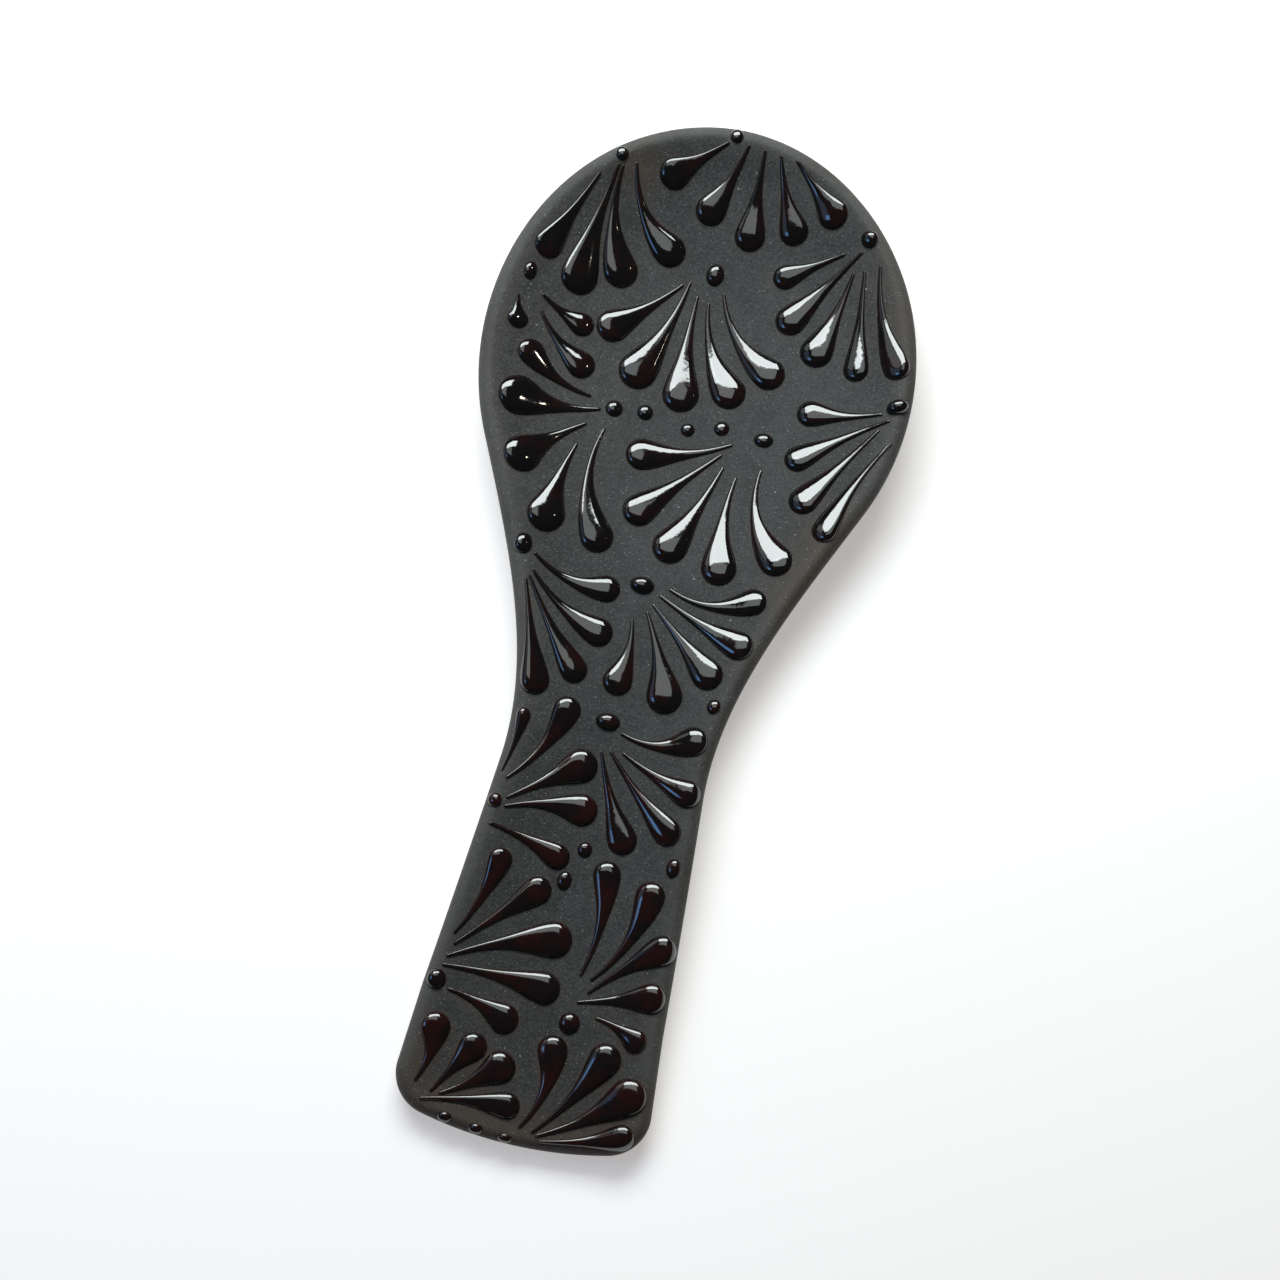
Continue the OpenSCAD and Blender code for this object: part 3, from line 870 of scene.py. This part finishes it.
@dataclass(frozen=True)
class Drop:
    """One trailed drop: a tail that swells into a round head."""

    tip: Array
    head: Array
    middle: Array
    tail_half: float
    head_half: float
    style: SlipStyle = SlipStyle()

    @classmethod
    def from_solid(cls, points: Array, triangles: Array) -> "Drop":
        """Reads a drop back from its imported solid.

        The solid is a row of rings of equal size. The ring at the tail holds the points that are nearest to
        the end that lies further from the mean point, and each next ring is the neighbours of the last one.

        Args:
            points: the solid's points.
            triangles: its triangles.

        Returns:
            The drop.
        """
        ring_size, middle_ring, head_ring = 7, 2, 5
        flat = points[:, :2]
        apart = np.linalg.norm(flat[:, None] - flat[None], axis=2)
        ends = np.unravel_index(apart.argmax(), apart.shape)
        tail = max(ends, key=lambda e: float(np.linalg.norm(flat[e] - flat.mean(0))))
        ring = np.argsort(apart[tail])[:ring_size]
        touching = np.zeros(apart.shape, bool)
        for a, b in ((0, 1), (1, 2), (2, 0)):
            touching[triangles[:, a], triangles[:, b]] = True
            touching[triangles[:, b], triangles[:, a]] = True
        seen = np.zeros(len(points), bool)
        rings = []
        while len(ring):
            seen[ring] = True
            rings.append(ring)
            ring = np.flatnonzero(touching[ring].any(0) & ~seen)
        centre = [flat[r].mean(0) for r in rings]
        half = [apart[np.ix_(r, r)].max() / 2 for r in rings]
        middle = centre[middle_ring]
        return cls(centre[0], centre[head_ring], middle, float(half[0]), float(half[head_ring]))

    def _centre(self, t: Array) -> tuple[Array, Array]:
        """Centre line and its direction: a parabola through the tip, the middle and the head's centre."""
        chord = self.head - self.tip
        offset = 4 * (self.middle - (self.tip + self.head) / 2)
        place = self.tip + t[:, None] * chord + (t * (1 - t))[:, None] * offset
        way = chord + (1 - 2 * t)[:, None] * offset
        return place, way / np.linalg.norm(way, axis=1)[:, None]

    def _half(self, t: Array) -> Array:
        """Half width: the tail's, plus the head's excess times an even share of t and a late smooth step."""
        even, power = self.style.even_share, self.style.swell_power
        grow = even * t + (1 - even) * smooth(np.maximum(t, 0) ** power)
        return self.tail_half + (self.head_half - self.tail_half) * grow

    def line(self) -> tuple[Array, Array]:
        """A few centre points with the half width at each."""
        t = np.linspace(0, 1, 9)
        return self._centre(t)[0], self._half(t)

    def shell(self, form: SpoonForm) -> Shell:
        """The drop's skin: a dome of height h times (1 - r to the crown's power) to the flank's power.

        Along the tail r is the share v of the half width, and round the head it is the distance from the
        head's centre, the root of the squared sine of the angle plus the squared share. The tip is rounded
        off by sines, and the base is keyed into the clay.

        Args:
            form: the clay under it.

        Returns:
            A closed shell with the value film.
        """
        style = self.style
        long = float(np.linalg.norm(self.head - self.tip))
        q = np.radians([25.0, 50.0, 75.0])
        g = np.linspace(0, math.pi / 2, style.around_head + 1)[1:-1]
        start = self.tail_half / long
        body = np.linspace(start, 1, style.along)
        t = np.concatenate([start * (1 - np.cos(q)), body, np.ones(len(g))])
        fade = np.concatenate([np.sin(q), np.ones(len(body)), np.cos(g)])
        past = np.concatenate([np.zeros(len(q) + len(body)), self.head_half * np.sin(g)])
        centre, way = self._centre(t)
        centre = centre + past[:, None] * way
        over = np.stack([-way[:, 1], way[:, 0]], 1)
        half = self._half(t)
        tip_fade = np.concatenate([np.sin(q), np.ones(len(body) + len(g))])
        height = (style.tail_height + style.swell * half) * tip_fade
        v = -np.cos(np.linspace(0, math.pi, style.across + 1))
        round_head = np.concatenate([np.zeros(len(q) + len(body)), np.sin(g)])
        reach = np.hypot(round_head[:, None], v * np.where(round_head > 0, fade, 1.0)[:, None])
        dome = np.maximum(0, 1 - reach**style.crown_power) ** style.flank_power
        v = np.concatenate([v, [0.8, 0.0, -0.8]])
        plan = centre[:, None, :] + (fade * half)[:, None, None] * v[None, :, None] * over[:, None, :]
        above = np.concatenate([height[:, None] * dome, np.full((len(height), 3), -style.key)], 1)
        points = np.concatenate([plan, (form.skin(plan) + above)[..., None]], 2)
        rings, size = points.shape[:2]
        poles_xy = np.stack([self.tip, centre[-1] + way[-1] * (self.head_half - past[-1])])
        poles = np.concatenate([poles_xy, (form.skin(poles_xy) - style.key / 3)[:, None]], 1)
        full = style.tail_height + style.swell * self.head_half
        film = np.concatenate([np.maximum(0, above).ravel() / full, [0.0, 0.0]])
        first = rings * size
        last_ring = (rings - 1) * size
        caps = [cap_faces(0, size, first, True), cap_faces(last_ring, size, first + 1, False)]
        points = np.concatenate([points.reshape(-1, 3), poles])
        return Shell(points, tube_faces(rings, size), np.concatenate(caps), {"film": film}).outward()


@dataclass(frozen=True)
class Dot:
    """One round or oval dot: a dome on its own base plane."""

    base: Array
    long_axis: Array
    short_axis: Array
    up: Array
    rings: int = 14
    size: int = 40
    round_power: float = 2.5
    top_power: float = 0.5

    @classmethod
    def from_solid(cls, points: Array, triangles: Array) -> "Dot":
        """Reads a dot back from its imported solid: its principal axes, scaled by its spread along them.

        Args:
            points: the solid's points.
            triangles: its triangles, which aren't needed.

        Returns:
            The dot.
        """
        mean = points.mean(0)
        axes = np.linalg.svd(points - mean)[2]
        spread = (points - mean) @ axes.T
        up, high = axes[2], spread[:, 2]
        if np.corrcoef(high, np.hypot(spread[:, 0], spread[:, 1]))[0, 1] > 0:
            up, high = -up, -high
        reach = np.abs(spread[:, :2]).max(0)
        base = mean + up * high.min()
        return cls(base, axes[0] * reach[0], axes[1] * reach[1], up * (high.max() - high.min()))

    def shell(self, form: SpoonForm) -> Shell:
        """The dome: height times (1 - r to the round power) to the top power, closed under its base.

        Args:
            form: the clay under it, which isn't needed, because the base is already keyed.

        Returns:
            A closed shell with the value film.
        """
        q = np.linspace(0, math.pi / 2, self.rings + 1)[:-1]
        r = np.cos(q)
        high = np.maximum(0, 1 - r**self.round_power) ** self.top_power
        a = np.linspace(0, 2 * math.pi, self.size, endpoint=False)
        points = (
            self.base
            + (r[:, None] * np.cos(a))[..., None] * self.long_axis
            + (r[:, None] * np.sin(a))[..., None] * self.short_axis
            + (high[:, None] * np.ones(self.size))[..., None] * self.up
        )
        size = self.size
        first = self.rings * size
        caps = [cap_faces(0, size, first, True), cap_faces(first - size, size, first + 1, False)]
        poles = np.stack([self.base, self.base + self.up])
        film = np.concatenate([np.repeat(high, size), [0.0, 1.0]])
        points = np.concatenate([points.reshape(-1, 3), poles])
        quads = tube_faces(self.rings, size)
        return Shell(points, quads, np.concatenate(caps), {"film": film}).outward()


def read_solids(node: bpy.types.Object) -> list[tuple[Array, Array]]:
    """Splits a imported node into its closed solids.

    Equal points are merged, and each point then takes the lowest number among the points of its triangles,
    again and again until nothing changes, so that a solid's points all share one number.

    Args:
        node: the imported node.

    Returns:
        For each solid, its points in millimetres and its triangles.
    """
    mesh = node.data
    mesh.calc_loop_triangles()
    points = np.zeros(len(mesh.vertices) * 3, np.float32)
    mesh.vertices.foreach_get("co", points)
    triangles = np.zeros(len(mesh.loop_triangles) * 3, np.int32)
    mesh.loop_triangles.foreach_get("vertices", triangles)
    points, merged = np.unique(np.round(points.reshape(-1, 3) / MM, 3), axis=0, return_inverse=True)
    triangles = merged.reshape(-1)[triangles].reshape(-1, 3)
    label = np.arange(len(points))
    while True:
        lowest = label.copy()
        np.minimum.at(lowest, triangles, label[triangles].min(1)[:, None])
        if (lowest == label).all():
            break
        label = lowest
    solids = []
    for number in np.unique(label):
        inside = np.flatnonzero(label == number)
        mine = triangles[label[triangles[:, 0]] == number]
        solids.append((points[inside], np.searchsorted(inside, mine)))
    return solids


@dataclass
class SlipWork:
    """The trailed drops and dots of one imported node."""

    node: str
    form: SpoonForm
    finish: bpy.types.Material
    drops: list[Drop] = field(default_factory=list)
    dots: list[Dot] = field(default_factory=list)
    slender: float = 1.55

    def read(self, packed: bpy.types.Object) -> None:
        """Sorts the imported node's solids into drops, which are slender, and dots."""
        for points, triangles in read_solids(packed):
            spread = np.linalg.svd(points - points.mean(0), compute_uv=False)
            if spread[0] / spread[1] > self.slender:
                self.drops.append(Drop.from_solid(points, triangles))
            else:
                self.dots.append(Dot.from_solid(points, triangles))
        log.info("%s: %d drops, %d dots", self.node, len(self.drops), len(self.dots))

    def build(self) -> bpy.types.Object:
        """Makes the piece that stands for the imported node."""
        shell = join([s.shell(self.form) for s in (*self.drops, *self.dots)])
        return make_piece("gloss_" + self.node, shell, self.finish, self.node)


# ---------------------------------------------------------------- studio


DAYLIGHT: Colour = (0.93, 1.0, 1.0)
WALL_LIGHT: Colour = (0.93, 1.0, 0.98)
CEILING_LIGHT: Colour = (0.93, 1.0, 0.99)
COOL_LIGHT: Colour = (0.45, 0.68, 1.0)
BLUE_LIGHT: Colour = (0.20, 0.48, 1.0)
WARM_LIGHT: Colour = (1.0, 0.88, 0.70)
ROOM_LIGHT: Colour = (0.9, 0.95, 1.0)
CEILING_HEIGHT = 0.66
# How far the floor lies under the feet, in metres
FLOOR_DROP = 0.1 * MM


@dataclass(frozen=True)
class SoftLight:
    """A rectangular light that faces a point, in metres, with its on-axis radiance and spread in degrees."""

    name: str
    place: tuple[float, float, float]
    aim: tuple[float, float, float]
    width: float
    height: float
    radiance: float
    colour: Colour = (1.0, 1.0, 1.0)
    spread: float = FULL_SPREAD

    def build(self) -> bpy.types.Object:
        """Makes the light."""
        data = bpy.data.lights.new(self.name, "AREA")
        data.shape = "RECTANGLE"
        data.size = self.width
        data.size_y = self.height
        half = math.radians(self.spread / 2)
        wide = self.spread == FULL_SPREAD
        narrowing = 1.0 if wide else (math.tan(half) - half) / math.tan(half)
        data.spread = 2 * half
        data.energy = self.radiance * math.pi * self.width * self.height * narrowing
        data.color = self.colour
        light = bpy.data.objects.new(self.name, data)
        light.location = self.place
        back = Vector(self.place) - Vector(self.aim)
        light.rotation_euler = back.to_track_quat("Z", "Y").to_euler()
        bpy.context.scene.collection.objects.link(light)
        log.info("light %s", self.name)
        return light


def ceiling(name: str, x: tuple[float, float], y: tuple[float, float], radiance: float) -> SoftLight:
    """A level panel over the object that covers a rectangle of the room, at the ceiling's height.

    Args:
        name: its name.
        x: its left and right edges.
        y: its near and far edges.
        radiance: its radiance.

    Returns:
        The light.
    """
    middle = (sum(x) / 2, sum(y) / 2)
    width, height = x[1] - x[0], y[1] - y[0]
    place, aim = (*middle, CEILING_HEIGHT), (*middle, 0.0)
    return SoftLight(name, place, aim, width, height, radiance, CEILING_LIGHT)


@dataclass(frozen=True)
class Viewpoint:
    """The camera: viewing angle in degrees, distance and target in metres, focal length in millimetres."""

    azimuth: float = 12.8
    elevation: float = 77.0
    distance: float = 0.600
    target: tuple[float, float, float] = (0.0014, -0.0043, 0.0080)
    lens: float = 71.3
    sensor: float = 36.0

    def build(self) -> bpy.types.Object:
        """Makes the camera and gives it to the scene."""
        data = bpy.data.cameras.new("camera")
        data.lens = self.lens
        data.sensor_width = self.sensor
        camera = bpy.data.objects.new("camera", data)
        turn = Euler((math.radians(90 - self.elevation), 0.0, math.radians(self.azimuth)))
        camera.rotation_euler = turn
        camera.location = Vector(self.target) + self.distance * (turn.to_matrix() @ Vector((0, 0, 1)))
        bpy.context.scene.collection.objects.link(camera)
        bpy.context.scene.camera = camera
        return camera


@dataclass
class Studio:
    """A pale floor, a soft window beyond the bowl, a panel overhead, two dim walls and two small lamps."""

    floor_size: float = 6.0
    ambient: float = 0.04
    lights: tuple[SoftLight, ...] = (
        SoftLight("window", (-0.14, 0.45, 0.49), (0.0, 0.07, 0.01), 0.58, 0.27, 10.5, DAYLIGHT),
        ceiling("ceiling_far", (-0.36, 0.06), (0.08, 0.40), 1.5),
        SoftLight("wall_left", (-0.70, 0.40, 0.55), (0.0, 0.05, 0.01), 0.30, 0.40, 0.8, WALL_LIGHT),
        SoftLight("cool_wall", (-0.62, -0.06, 0.52), (0.0, 0.0, 0.01), 0.50, 0.36, 0.45, COOL_LIGHT),
        SoftLight("cool_lamp", (-0.38, -0.14, 0.46), (0.02, -0.07, 0.01), 0.15, 0.13, 3.2, BLUE_LIGHT),
        SoftLight(
            "warm_lamp", (0.43, 0.31, 0.60), (-0.075, 0.046, 0.01), 0.07, 0.07, 110.0, WARM_LIGHT, 5.0
        ),
    )

    def _floor(self) -> bpy.types.Object:
        """A square sheet just under the feet."""
        half, z = self.floor_size / 2, -FLOOR_DROP
        corners = [(-half, -half, z), (half, -half, z), (half, half, z), (-half, half, z)]
        mesh = bpy.data.meshes.new("floor")
        mesh.from_pydata(corners, [], [(0, 1, 2, 3)])
        mesh.materials.append(PaleFloor().material())
        floor = bpy.data.objects.new("floor", mesh)
        bpy.context.scene.collection.objects.link(floor)
        return floor

    def _surroundings(self) -> None:
        """A dim even room, and plain display colours."""
        world = bpy.data.worlds.new("room")
        world.use_nodes = True
        graph = Graph(world.node_tree)
        inputs = {"Color": (*ROOM_LIGHT, 1.0), "Strength": self.ambient}
        light = graph.output("ShaderNodeBackground", "Background", {}, inputs)
        graph.node("ShaderNodeOutputWorld", {}, {"Surface": light})
        bpy.context.scene.world = world
        bpy.context.scene.view_settings.view_transform = "Standard"

    def build(self) -> None:
        """Makes the floor, the room and the lights."""
        self._floor()
        self._surroundings()
        for light in self.lights:
            light.build()


def main() -> None:
    """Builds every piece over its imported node, then the studio and the camera."""
    logging.basicConfig(level=logging.INFO, format="%(name)s: %(message)s")
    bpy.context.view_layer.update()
    form = SpoonForm()
    gloss = GlossSlip().material()
    work = []
    for name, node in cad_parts.items():
        if name == CLAY_NODE:
            continue
        slip = SlipWork(name, form, gloss)
        slip.read(node)
        slip.build()
        work.append(slip)
    body = ClayBody(form, MattCoat().material())
    body.build([drop for slip in work for drop in slip.drops])
    Studio().build()
    Viewpoint().build()


if __name__ == "__main__":
    main()
